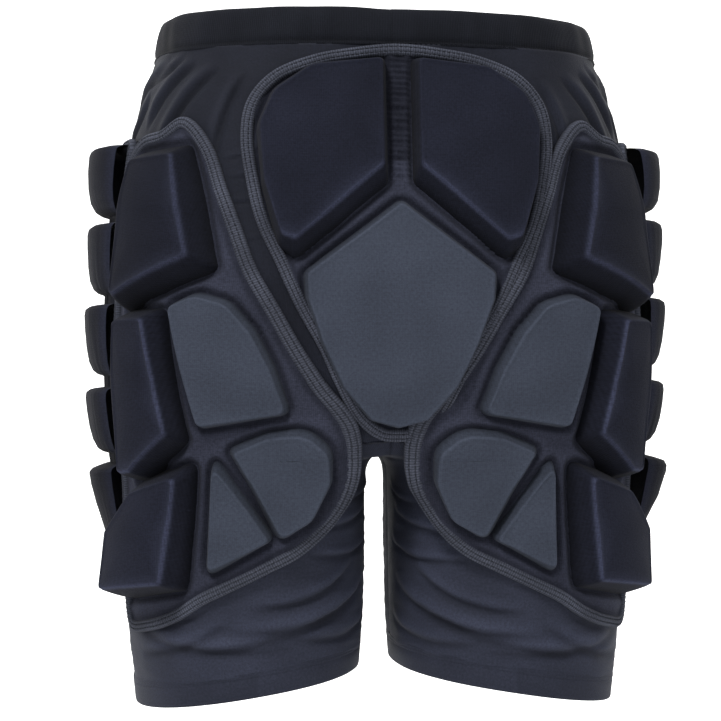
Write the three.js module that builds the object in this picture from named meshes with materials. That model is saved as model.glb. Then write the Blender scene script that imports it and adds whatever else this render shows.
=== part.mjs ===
// Padded impact shorts for skiing and snowboarding, as they hang when worn.
// Millimetres, +Z up. The wearer faces +Y, so the wearer's right is +X and the rear is -Y.
// The origin is the centre of the waist opening, in the plane of the waistband's top rim.
//
// The garment is a pair of stretch shorts with five padded panels sewn on: one over the
// tailbone, one round each hip and rear thigh, and one down each outer front thigh. Every
// panel is a sheet with a bound edge. It carries moulded pads, each a foam block in a cover.
import * as THREE from 'three';

// ---- Driving dimensions -------------------------------------------------------------

const OUTSEAM = 440; // waistband rim down to the lowest point of the hems
const HIP_HALF_WIDTH = 168; // half the width of the bare shorts at the hips

const FABRIC = 1.2; // body fabric
const WAISTBAND_HEIGHT = 22;
const WAISTBAND_THICKNESS = 5.2; // two casing walls and the elastic between them
const CASING_WALL = 1.2;
const HEM_HEIGHT = 16; // folded and stitched band at the end of each leg
const HEM_THICKNESS = 2.4;
const HEM_RISE = 24; // how much higher a hem sits at the inseam than at the outseam

const SHEET = 1.8; // laminated sheet that a panel's pads are moulded on
const TAPE_WIDTH = 7; // binding tape round a panel's edge
const STITCH_INSET = 3.5; // the stitching line that a panel is drawn by, from its cut edge
const TAPE_THICKNESS = 3; // tape folded over the sheet's edge
const COVER_WALL = 1.2; // moulded pad cover

const HIP_PAD_HEIGHT = 18; // how far each pad stands above its sheet
const SEAT_PAD_HEIGHT = 13;
const TAILBONE_PAD_HEIGHT = 8;
const THIN_PAD_HEIGHT = 6;
const RIB_HEIGHT = 19;
const RIB_COUNT = 5;
const RIB_PITCH = 51; // from the top of one thigh rib to the top of the next

const LAYER_GAP = 2; // between layers that lie on the same curve
const PAD_GAP = 1.3; // between a sheet and the pads on it
const SEAM_GAP = 0.4; // between pieces that are sewn edge to edge
const FIT_GAP = 1; // foam inside its cover

// ---- Grading ------------------------------------------------------------------------

// The pattern is drawn for one size. A garment of another size has the same outlines,
// longer with the outseam and wider with the hips. Thicknesses aren't graded.
const PATTERN_OUTSEAM = 440;
const PATTERN_HIP = 168;
const LONGER = OUTSEAM / PATTERN_OUTSEAM;
const WIDER = HIP_HALF_WIDTH / PATTERN_HIP;

// ---- The body that the shorts fit -----------------------------------------------------

// Each station is [height above the lowest hem, half width, rear depth, front depth].
const PELVIS = [
  [165, 160, 98, 88],
  [210, 166, 112, 92],
  [260, 168, 119, 95],
  [310, 166, 119, 97],
  [350, 162, 114, 96],
  [390, 154, 107, 92],
  [420, 144.5, 103, 89],
  [440, 141, 101, 88],
];

// Each station is [height, leg centre from the middle, its place forward, half width, half depth].
const LEG = [
  [0, 83.5, 2, 72, 80],
  [50, 84, 2, 77, 84],
  [100, 84, 1, 78.5, 88],
  [140, 84, 0, 79, 92],
  [180, 84, -2, 81, 97],
  [230, 82, -4, 82, 104],
  [280, 78, -6, 80, 104],
  [330, 74, -4, 72, 92],
  [400, 74, -4, 52, 66],
  [440, 74, -4, 48, 60],
];

const CROTCH = 163; // height at which the legs part
const PELVIS_SQUARENESS = 2.5; // 2 is an ellipse
const LEG_SQUARENESS = 2.2;
const BLEND = 14; // how softly the legs run into the pelvis
const LEG_RADIUS = 90; // turns a distance round the leg into an angle
const QUARTER_TURN = (Math.PI / 2) * LEG_RADIUS; // the outseam, measured round from the rear

function slopeAt(stations, i, column) {
  const before = stations[Math.max(i - 1, 0)];
  const after = stations[Math.min(i + 1, stations.length - 1)];
  return (after[column] - before[column]) / (after[0] - before[0]);
}

// One value of the body at a height, as a smooth curve through its stations.
function station(stations, height, column) {
  const last = stations.length - 1;
  const z = THREE.MathUtils.clamp(height, stations[0][0], stations[last][0]);
  let i = 0;
  while (i < last - 1 && z >= stations[i + 1][0]) i += 1;
  const step = stations[i + 1][0] - stations[i][0];
  const t = (z - stations[i][0]) / step;
  const start = stations[i][column];
  const end = stations[i + 1][column];
  const startSlope = slopeAt(stations, i, column) * step;
  const endSlope = slopeAt(stations, i + 1, column) * step;
  return (2 * t ** 3 - 3 * t ** 2 + 1) * start + (t ** 3 - 2 * t ** 2 + t) * startSlope
    + (3 * t ** 2 - 2 * t ** 3) * end + (t ** 3 - t ** 2) * endSlope;
}

// Distance outside an oval, measured from its centre.
function ovalGap(dx, dy, halfWidth, halfDepth, squareness) {
  const r = Math.hypot(dx, dy) + 1e-9;
  const across = (Math.abs(dx) / halfWidth) ** squareness;
  const along = (Math.abs(dy) / halfDepth) ** squareness;
  return r - r / (across + along) ** (1 / squareness);
}

function softMin(a, b) {
  const near = Math.max(BLEND - Math.abs(a - b), 0) / BLEND;
  return Math.min(a, b) - near * near * BLEND / 4;
}

// Distance outside the body, in pattern sizes: negative inside, zero on its surface.
function bodyGap(x, y, height) {
  const depth = station(PELVIS, height, y < 0 ? 2 : 3);
  const trunk = ovalGap(x, y, station(PELVIS, height, 1), depth, PELVIS_SQUARENESS);
  const pelvis = -softMin(-trunk, height - CROTCH);
  const fromLeg = Math.abs(x) - station(LEG, height, 1);
  const leg = ovalGap(fromLeg, y - station(LEG, height, 2),
    station(LEG, height, 3), station(LEG, height, 4), LEG_SQUARENESS);
  return softMin(pelvis, leg);
}

function bodyNormal(p) {
  const e = 0.5;
  return new THREE.Vector3(
    (bodyGap(p.x + e, p.y, p.z) - bodyGap(p.x - e, p.y, p.z)) / WIDER,
    (bodyGap(p.x, p.y + e, p.z) - bodyGap(p.x, p.y - e, p.z)) / WIDER,
    (bodyGap(p.x, p.y, p.z + e) - bodyGap(p.x, p.y, p.z - e)) / LONGER,
  ).normalize();
}

// Where a level ray first leaves the body.
function rayOut(x, y, dx, dy, height) {
  const stride = 6;
  let far = 2 * stride;
  while (bodyGap(x + far * dx, y + far * dy, height) < 0) far += stride;
  let near = far - stride;
  for (let i = 0; i < 30; i += 1) {
    const middle = (near + far) / 2;
    if (bodyGap(x + middle * dx, y + middle * dy, height) < 0) near = middle;
    else far = middle;
  }
  return new THREE.Vector3(x + near * dx, y + near * dy, height);
}

// A pattern point on the body, graded to size and lifted off it by a true distance.
function lifted(p, lift) {
  const normal = bodyNormal(p);
  return new THREE.Vector3(p.x * WIDER, p.y * WIDER, p.z * LONGER).addScaledVector(normal, lift);
}

// The legs' coordinates: round is the distance from the rear of the leg outwards.
function onLeg(side) {
  return (round, height, lift = 0) => {
    const angle = round / LEG_RADIUS;
    const centre = side * station(LEG, height, 1);
    const dx = side * Math.sin(angle);
    const dy = -Math.cos(angle);
    return lifted(rayOut(centre, station(LEG, height, 2), dx, dy, height), lift);
  };
}

// The seat's coordinates: across is the distance from the middle of the rear.
function onSeat(across, height, lift = 0) {
  return lifted(rayOut(across, 0, 0, -1, height), lift);
}

function onWaist(angle, height, lift) {
  const p = rayOut(0, 0, Math.sin(angle), -Math.cos(angle), height);
  const normal = bodyNormal(p).setZ(0).normalize();
  return new THREE.Vector3(p.x * WIDER, p.y * WIDER, p.z * LONGER).addScaledVector(normal, lift);
}

// ---- Closed solids ----------------------------------------------------------------------

function solid(points, faces) {
  let volume = 0;
  for (const [a, b, c] of faces) {
    volume += points[a].dot(new THREE.Vector3().crossVectors(points[b], points[c]));
  }
  const outward = volume < 0 ? faces.map(([a, b, c]) => [a, c, b]) : faces;
  const geometry = new THREE.BufferGeometry();
  geometry.setAttribute('position', new THREE.Float32BufferAttribute(points.flatMap((p) => p.toArray()), 3));
  geometry.setIndex(outward.flat());
  geometry.computeVertexNormals();
  return geometry;
}

// Faces of the band between two rows of points, cut along each cell's shorter diagonal.
function band(points, rowA, rowB, closed) {
  const faces = [];
  const cells = closed ? rowA.length : rowA.length - 1;
  for (let i = 0; i < cells; i += 1) {
    const j = (i + 1) % rowA.length;
    const down = points[rowA[i]].distanceTo(points[rowB[j]]);
    const up = points[rowA[j]].distanceTo(points[rowB[i]]);
    if (down < up) faces.push([rowA[i], rowA[j], rowB[j]], [rowA[i], rowB[j], rowB[i]]);
    else faces.push([rowA[i], rowA[j], rowB[i]], [rowA[j], rowB[j], rowB[i]]);
  }
  return faces;
}

function gather(rows) {
  const points = rows.flat();
  let next = 0;
  const indices = rows.map((row) => row.map(() => next++));
  return { points, indices };
}

// Rings of points from one end point to the other, such as a sheet or a pad.
function ringSolid(start, rings, end) {
  const { points, indices } = gather([[start], ...rings, [end]]);
  const faces = [];
  const loops = indices.slice(1, -1);
  const first = loops[0];
  const last = loops[loops.length - 1];
  const final = points.length - 1;
  for (let i = 0; i < first.length; i += 1) {
    const j = (i + 1) % first.length;
    faces.push([0, first[j], first[i]], [final, last[i], last[j]]);
  }
  for (let k = 1; k < loops.length; k += 1) faces.push(...band(points, loops[k - 1], loops[k], true));
  return solid(points, faces);
}

// Equal sections joined round a closed loop, such as a tape or a waistband.
function loopSolid(sections) {
  const { points, indices } = gather(sections);
  const faces = indices.flatMap((row, k) => band(points, row, indices[(k + 1) % indices.length], true));
  return solid(points, faces);
}

// Two grids of points, one above the other, joined round their rims.
function slabSolid(top, bottom) {
  const { points, indices } = gather([...top, ...bottom]);
  const upper = indices.slice(0, top.length);
  const lower = indices.slice(top.length);
  const faces = [];
  for (let k = 1; k < upper.length; k += 1) {
    faces.push(...band(points, upper[k - 1], upper[k], false));
    for (const [a, b, c] of band(points, lower[k - 1], lower[k], false)) faces.push([a, c, b]);
  }
  const rim = (grid) => {
    const lastColumn = grid[0].length - 1;
    const right = grid.slice(1).map((row) => row[lastColumn]);
    const end = grid[grid.length - 1].slice(0, -1).reverse();
    const left = grid.slice(1, -1).map((row) => row[0]).reverse();
    return [...grid[0], ...right, ...end, ...left];
  };
  faces.push(...band(points, rim(lower), rim(upper), true));
  return solid(points, faces);
}

// Equal sections joined one after the other, closed by a fan at each end.
function barSolid(sections) {
  const { points, indices } = gather(sections);
  const faces = [];
  for (let k = 1; k < indices.length; k += 1) faces.push(...band(points, indices[k - 1], indices[k], true));
  const first = indices[0];
  const last = indices[indices.length - 1];
  for (let i = 1; i < first.length - 1; i += 1) {
    faces.push([first[0], first[i + 1], first[i]], [last[0], last[i], last[i + 1]]);
  }
  return solid(points, faces);
}

// ---- Outlines in pattern coordinates ------------------------------------------------------

const between = (from, to, t) => from + (to - from) * t;

// A polygon's corners moved outwards by a distance, or inwards where it is negative.
function grown(corners, distance) {
  const turn = Math.sign(THREE.ShapeUtils.area(corners));
  return corners.map((corner, i) => {
    const before = corners[(i + corners.length - 1) % corners.length];
    const after = corners[(i + 1) % corners.length];
    const a = corner.clone().sub(before).normalize();
    const b = after.clone().sub(corner).normalize();
    const outward = new THREE.Vector2(a.y + b.y, -a.x - b.x).multiplyScalar(turn).normalize();
    const sharpness = Math.max(outward.dot(new THREE.Vector2(b.y, -b.x).multiplyScalar(turn)), 0.5);
    return corner.clone().addScaledVector(outward, distance / sharpness);
  });
}

// Two points per corner, and points along each edge so that no step is longer than a stride.
function cutSteps(corners, stride) {
  return corners.map((corner, i) => {
    const after = corners[(i + 1) % corners.length];
    return Math.max(1, Math.ceil(corner.distanceTo(after) / stride) - 1);
  });
}

function softened(corners, cut, steps) {
  const points = [];
  corners.forEach((corner, i) => {
    const after = corners[(i + 1) % corners.length];
    const length = corner.distanceTo(after);
    const trim = Math.min(cut, length / 3) / length;
    for (let k = 0; k <= steps[i]; k += 1) {
      points.push(corner.clone().lerp(after, between(trim, 1 - trim, k / steps[i])));
    }
  });
  return points;
}

function centreOf(points) {
  const sum = new THREE.Vector2();
  points.forEach((p) => sum.add(p));
  return sum.divideScalar(points.length);
}

const outline = (pairs) => pairs.map(([across, height]) => new THREE.Vector2(across, height));

// A panel's cut edge, from the stitching line that the pattern draws.
const cutEdge = (pairs) => grown(outline(pairs), STITCH_INSET);

const drawn = (place, points, lift) => points.map((p) => place(p.x, p.y, lift));
const towards = (points, centre, share) => points.map((p) => p.clone().lerp(centre, share));

// ---- Shorts ---------------------------------------------------------------------------------

function hemHeight(across) {
  const inner = 10;
  const outer = 158;
  return HEM_RISE * (outer - Math.abs(across) / WIDER) / (outer - inner);
}

// How far round towards the middle a panel reaches at a height: to the centre seam above
// the crotch and to the inseam below it. Facing is 1 at the rear and -1 at the front.
function innerEdge(side, facing, height) {
  const place = onLeg(side);
  const rear = facing > 0 ? 0 : 2 * QUARTER_TURN;
  const seam = rear - facing * QUARTER_TURN;
  const inseam = seam + facing * SEAM_GAP / 2;
  if (side * place(inseam, height).x > SEAM_GAP / 2) return inseam;
  let inside = rear;
  let outside = inseam;
  for (let i = 0; i < 30; i += 1) {
    const middle = (inside + outside) / 2;
    if (side * place(middle, height).x > SEAM_GAP / 2) inside = middle;
    else outside = middle;
  }
  return inside;
}

const PANEL_ROWS = [52, 100, 132, 146, 152, 156, 162, 176, 204, 246, 290, 336, 380];
const PANEL_COLUMNS = 9;

// One quarter of the shorts, from the hem band to the waistband.
function shortsPanel(side, facing) {
  const place = onLeg(side);
  const outseam = QUARTER_TURN - facing * SEAM_GAP / 2;
  const topEdge = (OUTSEAM - WAISTBAND_HEIGHT - SEAM_GAP) / LONGER;
  const layer = (lift) => [null, ...PANEL_ROWS, topEdge].map((row) => {
    const level = row ?? 20;
    const inner = innerEdge(side, facing, level);
    return Array.from({ length: PANEL_COLUMNS }, (_, i) => {
      const round = between(inner, outseam, i / (PANEL_COLUMNS - 1));
      if (row !== null) return place(round, row, lift);
      const hem = hemHeight(place(round, level).x) + HEM_HEIGHT + 2 * SEAM_GAP;
      return place(round, hem / LONGER, lift);
    });
  });
  return slabSolid(layer(FABRIC), layer(0));
}

function hemBand(side) {
  const steps = 28;
  const place = onLeg(side);
  const inner = (FABRIC - HEM_THICKNESS) / 2;
  const outer = inner + HEM_THICKNESS;
  const onHem = (round, lift, rise) => {
    const first = place(round, HEM_HEIGHT / 2, lift);
    const p = place(round, (hemHeight(first.x) + rise) / LONGER, lift);
    return p.setZ(hemHeight(p.x) + rise);
  };
  return loopSolid(Array.from({ length: steps }, (_, i) => {
    const round = (i / steps) * 4 * QUARTER_TURN;
    return [onHem(round, inner, 0), onHem(round, outer, 0),
      onHem(round, outer, HEM_HEIGHT), onHem(round, inner, HEM_HEIGHT)];
  }));
}

const WAIST_STEPS = 36;

function waistLoop(section) {
  return loopSolid(Array.from({ length: WAIST_STEPS }, (_, i) => {
    const angle = (i / WAIST_STEPS) * 2 * Math.PI;
    return section.map(([lift, height]) => onWaist(angle, height / LONGER, lift));
  }));
}

// A strip folded over the elastic, with both of its edges at the lower seam.
function waistbandCasing() {
  const half = WAISTBAND_THICKNESS / 2;
  const hollow = half - CASING_WALL;
  const seam = OUTSEAM - WAISTBAND_HEIGHT;
  const fold = OUTSEAM - 2 * CASING_WALL;
  return waistLoop([[half, seam], [half, OUTSEAM], [-half, OUTSEAM], [-half, seam],
    [-hollow, seam], [-hollow, fold], [hollow, fold], [hollow, seam]]);
}

function waistbandElastic() {
  const half = WAISTBAND_THICKNESS / 2 - CASING_WALL - SEAM_GAP;
  const low = OUTSEAM - WAISTBAND_HEIGHT + FIT_GAP;
  const high = OUTSEAM - 2 * CASING_WALL - SEAM_GAP;
  return waistLoop([[half, low], [half, high], [-half, high], [-half, low]]);
}

// ---- Padded panels --------------------------------------------------------------------------

const SHEET_BOTTOM = FABRIC + LAYER_GAP;
const SHEET_TOP = SHEET_BOTTOM + SHEET;
const PAD_BOTTOM = SHEET_TOP + PAD_GAP;
const TAPE_BOTTOM = SHEET_BOTTOM;

// A panel's sheet, from its centre out to where the binding tape starts.
function panelSheet(place, edge, centre) {
  const rings = [0.84, 0.62, 0.34];
  const rim = grown(edge, -(TAPE_WIDTH + SEAM_GAP));
  const layer = (lift) => [rim, ...rings.map((share) => towards(rim, centre, 1 - share))]
    .map((ring) => drawn(place, ring, lift));
  const under = layer(SHEET_BOTTOM).reverse();
  const middle = (lift) => place(centre.x, centre.y, lift);
  return ringSolid(middle(SHEET_BOTTOM), [...under, ...layer(SHEET_TOP)], middle(SHEET_TOP));
}

// The tape sewn round a panel, inwards from its cut edge.
function bindingTape(place, edge) {
  const inner = grown(edge, -TAPE_WIDTH);
  const top = TAPE_BOTTOM + TAPE_THICKNESS;
  return loopSolid(edge.map((outer, i) => [
    place(inner[i].x, inner[i].y, TAPE_BOTTOM), place(outer.x, outer.y, TAPE_BOTTOM),
    place(outer.x, outer.y, top), place(inner[i].x, inner[i].y, top),
  ]));
}

const PAD_STRIDE = 20; // longest step along a pad's outline

// A pad is given by the outline of its top face. Its sides slope out by the bevel.
function padLayers(pad, inset) {
  const steps = cutSteps(grown(pad.face, pad.bevel), PAD_STRIDE);
  const base = softened(grown(pad.face, pad.bevel - inset), pad.corner, steps);
  const ridge = softened(grown(pad.face, -inset), pad.corner, steps);
  const centre = centreOf(ridge);
  return { base, ridge, centre };
}

const CROWN = 1.2; // how much a pad's middle stands above its ridge

function padTop(place, pad, inset, top) {
  const { base, ridge, centre } = padLayers(pad, inset);
  const inner = towards(ridge, centre, 0.5);
  return {
    base,
    centre,
    rings: [drawn(place, ridge, top), drawn(place, inner, top + CROWN)],
    summit: place(centre.x, centre.y, top + CROWN),
  };
}

// The moulded cover: a shell with its open side on the sheet.
function padCover(place, pad) {
  const top = PAD_BOTTOM + pad.height;
  const outside = padTop(place, pad, 0, top);
  const inside = padTop(place, pad, COVER_WALL, top - COVER_WALL);
  const rims = [drawn(place, inside.base, PAD_BOTTOM), drawn(place, outside.base, PAD_BOTTOM)];
  return ringSolid(inside.summit, [...inside.rings.reverse(), ...rims, ...outside.rings], outside.summit);
}

// The foam block inside a cover.
function padFoam(place, pad) {
  const inset = COVER_WALL + FIT_GAP;
  const top = padTop(place, pad, inset, PAD_BOTTOM + pad.height - inset);
  const floor = [0.5, 0].map((share) => drawn(place, towards(top.base, top.centre, share), PAD_BOTTOM));
  const middle = place(top.centre.x, top.centre.y, PAD_BOTTOM);
  return ringSolid(middle, [...floor, ...top.rings], top.summit);
}

const TAILBONE_EDGE = [[0, 411], [30, 408], [58, 401], [78, 391], [89, 374], [90, 345], [85, 316],
  [75, 290], [63, 264], [50, 240], [37, 216], [24, 195], [12, 184], [0, 180]];
const TAILBONE_CENTRE = new THREE.Vector2(0, 310);

const SIDE_EDGE = [[62, 371], [42, 369], [30, 349], [21, 324], [12, 300], [2, 276], [-9, 253], [-20, 231],
  [-31, 210], [-43, 189], [-57, 171], [-66, 154], [-62, 132], [-48, 115], [-28, 100], [-4, 87], [20, 75],
  [44, 65], [70, 59], [94, 58], [100, 80], [100, 110], [100, 140], [100, 170], [100, 200], [100, 230],
  [100, 260], [100, 290], [100, 320], [98, 346], [84, 364]];
const SIDE_CENTRE = new THREE.Vector2(42, 200);

// Half of an outline that is the same on both sides of the middle, made whole.
function mirrored(half) {
  const inner = half.filter(([across]) => across > 0).reverse();
  return [...half, ...inner.map(([across, height]) => [-across, height])];
}

const flipped = (side, pairs) => pairs.map(([across, height]) => [side * across, height]);

const SEAT_FACE = [[13, 399], [50, 393], [69, 379], [76, 360], [75, 332], [68, 303], [60, 300], [13, 339]];
const TAILBONE_FACE = [[0, 314], [50, 276], [49, 258], [33, 228], [18, 206], [8, 197]];

const SIDE_PADS = {
  hip: {
    face: [[81, 346], [50, 348], [41, 326], [34, 286], [82, 267]],
    height: HIP_PAD_HEIGHT, bevel: 8, corner: 4,
  },
  side: {
    face: [[82, 242], [54, 247], [49, 220], [44, 184], [82, 161]],
    height: HIP_PAD_HEIGHT, bevel: 7, corner: 4,
  },
  lower: {
    face: [[84, 141], [43, 160], [46, 120], [50, 84], [84, 80]],
    height: HIP_PAD_HEIGHT, bevel: 7, corner: 4,
  },
  rear: {
    face: [[38, 256], [20, 257], [7, 246], [-4, 225], [-13, 203], [28, 189], [33, 215]],
    height: THIN_PAD_HEIGHT, bevel: 3, corner: 6,
  },
  crescent: {
    face: [[3, 168], [-17, 176], [-34, 171], [-40, 152], [-31, 127], [-16, 119]],
    height: THIN_PAD_HEIGHT, bevel: 2, corner: 6,
  },
  corner: {
    face: [[19, 157], [28, 97], [-4, 110]],
    height: THIN_PAD_HEIGHT, bevel: 2, corner: 5,
  },
};

// ---- Thigh panels ---------------------------------------------------------------------------

const THIGH_REAR = 104.5; // round the leg, just in front of the side panel
const THIGH_FRONT = 209.5;
const THIGH_TOP = 365.5;
const THIGH_CORNER = 3.5; // how much of the panel's corners is cut off
const RIB_MARGIN = 3.5; // from the tape to the first and the last rib
const THIGH_COLUMNS = 7;
const RIB_NOTCH = 4; // what is left of a rib's height between one rib and the next

// A rib's section, from its lower edge to its upper edge: [share of the pitch, share of height].
const RIB_SECTION = [[0.06, 0], [0.24, 0.55], [0.66, 1], [0.9, 0.72]];

const ribFloor = (i) => THIGH_TOP - TAPE_WIDTH - RIB_MARGIN - (i + 1) * RIB_PITCH / LONGER;

// The ribs run out towards the panel's front and rear edges.
function ribSwell(i) {
  const t = i / (THIGH_COLUMNS - 1);
  return Math.sqrt(Math.sin(Math.PI * between(0.04, 0.96, t)));
}

function thighEdge() {
  const low = ribFloor(RIB_COUNT - 1) - TAPE_WIDTH - RIB_MARGIN;
  const corners = outline([[THIGH_REAR, THIGH_TOP], [THIGH_FRONT, THIGH_TOP],
    [THIGH_FRONT, low], [THIGH_REAR, low]]);
  return softened(corners, THIGH_CORNER, [4, 9, 4, 9]);
}

function thighRound(i) {
  const margin = TAPE_WIDTH + 2 * SEAM_GAP;
  return between(THIGH_REAR + margin, THIGH_FRONT - margin, i / (THIGH_COLUMNS - 1));
}

// The ribbed cover: one moulded sheet with a swelling over each rib.
function thighCover(place) {
  const rows = [[ribFloor(RIB_COUNT - 1) - RIB_MARGIN / 2, 0]];
  for (let rib = RIB_COUNT - 1; rib >= 0; rib -= 1) {
    for (const [share, swell] of RIB_SECTION) {
      const rise = RIB_NOTCH + (RIB_HEIGHT - RIB_NOTCH) * swell;
      rows.push([ribFloor(rib) + share * RIB_PITCH / LONGER, rise]);
    }
  }
  rows.push([THIGH_TOP - TAPE_WIDTH - RIB_MARGIN / 2, 0]);
  const layer = (lift) => rows.map(([height, rise]) => Array.from({ length: THIGH_COLUMNS }, (_, i) => (
    place(thighRound(i), height, lift + rise * ribSwell(i)))));
  return slabSolid(layer(SHEET_TOP), layer(SHEET_TOP - COVER_WALL));
}

// The foam bar inside one rib.
function ribFoam(place, rib) {
  const inset = COVER_WALL + FIT_GAP;
  const floor = SHEET_BOTTOM;
  const columns = Array.from({ length: THIGH_COLUMNS - 2 }, (_, i) => i + 1);
  return barSolid(columns.map((i) => {
    const at = (share, rise) => place(thighRound(i), ribFloor(rib) + share * RIB_PITCH / LONGER, rise);
    const crest = SHEET_TOP - inset + RIB_HEIGHT * ribSwell(i);
    const side = SHEET_TOP - inset + (RIB_NOTCH + (RIB_HEIGHT - RIB_NOTCH) * 0.5) * ribSwell(i);
    return [at(0.3, floor), at(0.3, side), at(0.66, crest), at(0.84, side), at(0.84, floor)];
  }));
}

// ---- Assembly -------------------------------------------------------------------------------

const stretch = new THREE.MeshStandardMaterial({ color: 0x3a3c49, roughness: 0.85, metalness: 0 });
const webbing = new THREE.MeshStandardMaterial({ color: 0x21232d, roughness: 0.8, metalness: 0 });
const elastic = new THREE.MeshStandardMaterial({ color: 0x2b2b2f, roughness: 0.6, metalness: 0 });
const laminate = new THREE.MeshStandardMaterial({ color: 0x2c2f39, roughness: 0.85, metalness: 0 });
const tape = new THREE.MeshStandardMaterial({ color: 0x4a4e58, roughness: 0.8, metalness: 0 });
const darkCover = new THREE.MeshStandardMaterial({ color: 0x262935, roughness: 0.8, metalness: 0 });
const lightCover = new THREE.MeshStandardMaterial({ color: 0x434856, roughness: 0.9, metalness: 0 });
const foam = new THREE.MeshStandardMaterial({ color: 0x2a2a2c, roughness: 1, metalness: 0 });

const shorts = new THREE.Group();
shorts.position.z = -OUTSEAM;

function add(name, geometry, material) {
  const mesh = new THREE.Mesh(geometry, material);
  mesh.name = name;
  shorts.add(mesh);
}

function addPad(name, suffix, place, pad, material) {
  add(`${name}_pad_cover${suffix}`, padCover(place, pad), material);
  add(`${name}_pad_foam${suffix}`, padFoam(place, pad), foam);
}

add('waistband_casing', waistbandCasing(), webbing);
add('waistband_elastic', waistbandElastic(), elastic);

const tailboneEdge = cutEdge(mirrored(TAILBONE_EDGE));
add('tailbone_sheet', panelSheet(onSeat, tailboneEdge, TAILBONE_CENTRE), laminate);
add('tailbone_binding', bindingTape(onSeat, tailboneEdge), tape);
addPad('tailbone', '', onSeat, {
  face: outline(mirrored(TAILBONE_FACE)), height: TAILBONE_PAD_HEIGHT, bevel: 3, corner: 5,
}, lightCover);

for (const [side, suffix] of [[-1, '_l'], [1, '_r']]) {
  const place = onLeg(side);
  add(`rear_panel${suffix}`, shortsPanel(side, 1), stretch);
  add(`front_panel${suffix}`, shortsPanel(side, -1), stretch);
  add(`hem_band${suffix}`, hemBand(side), stretch);

  const seat = { face: outline(flipped(side, SEAT_FACE)), height: SEAT_PAD_HEIGHT, bevel: 5, corner: 5 };
  addPad('seat', suffix, onSeat, seat, darkCover);

  const sideEdge = cutEdge(SIDE_EDGE);
  add(`side_sheet${suffix}`, panelSheet(place, sideEdge, SIDE_CENTRE), laminate);
  add(`side_binding${suffix}`, bindingTape(place, sideEdge), tape);
  for (const [name, pad] of Object.entries(SIDE_PADS)) {
    const material = pad.height === THIN_PAD_HEIGHT ? lightCover : darkCover;
    addPad(name, suffix, place, { ...pad, face: outline(pad.face) }, material);
  }

  add(`thigh_cover${suffix}`, thighCover(place), darkCover);
  add(`thigh_binding${suffix}`, bindingTape(place, thighEdge()), tape);
  for (let rib = 0; rib < RIB_COUNT; rib += 1) {
    add(`thigh_rib_foam_${rib + 1}${suffix}`, ribFoam(place, rib), foam);
  }
}

export default shorts;
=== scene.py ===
"""Padded impact shorts, seen from behind as worn.

Lengths are millimetres in the code, and mesh code turns them into metres. Heights are measured up
from the lowest point of the hems. The row frame has its origin at the waistband's top rim.
"""
import math

import bpy
import numpy as np
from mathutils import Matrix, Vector


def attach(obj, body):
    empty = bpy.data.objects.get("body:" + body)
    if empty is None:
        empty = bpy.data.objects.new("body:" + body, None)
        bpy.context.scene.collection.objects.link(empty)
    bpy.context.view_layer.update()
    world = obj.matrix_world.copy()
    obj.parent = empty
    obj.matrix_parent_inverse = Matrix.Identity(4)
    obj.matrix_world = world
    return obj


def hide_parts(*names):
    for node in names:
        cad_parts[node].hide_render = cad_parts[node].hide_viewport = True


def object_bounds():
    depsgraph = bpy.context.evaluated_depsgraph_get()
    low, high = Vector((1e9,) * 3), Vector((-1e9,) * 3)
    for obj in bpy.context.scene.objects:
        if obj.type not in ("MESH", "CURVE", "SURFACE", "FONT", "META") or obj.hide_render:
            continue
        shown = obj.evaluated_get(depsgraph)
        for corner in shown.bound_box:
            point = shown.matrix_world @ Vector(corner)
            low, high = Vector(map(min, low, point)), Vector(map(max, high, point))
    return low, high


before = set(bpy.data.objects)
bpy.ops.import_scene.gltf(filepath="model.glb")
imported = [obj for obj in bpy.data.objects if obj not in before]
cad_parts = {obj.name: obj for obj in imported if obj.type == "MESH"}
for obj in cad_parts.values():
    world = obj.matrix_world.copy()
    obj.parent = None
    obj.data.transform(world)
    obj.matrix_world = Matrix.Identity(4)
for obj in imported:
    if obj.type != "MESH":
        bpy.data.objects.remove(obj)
cad_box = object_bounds()

MM = 0.001
PATTERN_OUTSEAM = 440.0
PATTERN_HALF_WIDTH = 192.9  # over the thigh ribs
LONGER = (cad_box[1][2] - cad_box[0][2]) / MM / PATTERN_OUTSEAM
WIDER = cad_box[1][0] / MM / PATTERN_HALF_WIDTH
SIDES = ((-1, "_l"), (1, "_r"))

# How far the panels are moved round the body to match the photograph. The seat panel goes towards
# the wearer's right, and across the rear the side and thigh panels go towards the wearer's left.
SEAT_MOVED = 3.0
LEG_MOVED = {-1: 4.2, 1: -4.2}

# ---- The body that the shorts fit ----------------------------------------------------------

# Height, half width, rear depth, front depth.
PELVIS = np.array([
    (165, 160, 98, 88), (210, 166, 112, 92), (260, 168, 119, 95), (310, 166, 119, 97),
    (350, 162, 114, 96), (390, 154, 107, 92), (420, 144.5, 103, 89), (440, 141, 101, 88),
], float)

# Height, leg centre from the middle, its place forward, half width, half depth.
LEG = np.array([
    (0, 83.5, 2, 72, 80), (50, 84, 2, 77, 84), (100, 84, 1, 78.5, 88), (140, 84, 0, 79, 92),
    (180, 84, -2, 81, 97), (230, 82, -4, 82, 104), (280, 78, -6, 80, 104), (330, 74, -4, 72, 92),
    (400, 74, -4, 52, 66), (440, 74, -4, 48, 60),
], float)

CROTCH = 163.0
BLEND = 14.0
LEG_RADIUS = 90.0
QUARTER_TURN = math.pi / 2 * LEG_RADIUS
REACH, SEAT_REACH = 230.0, 200.0  # how far rays are followed: past the body
LEG_MIDDLE = 0.084  # in metres


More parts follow.
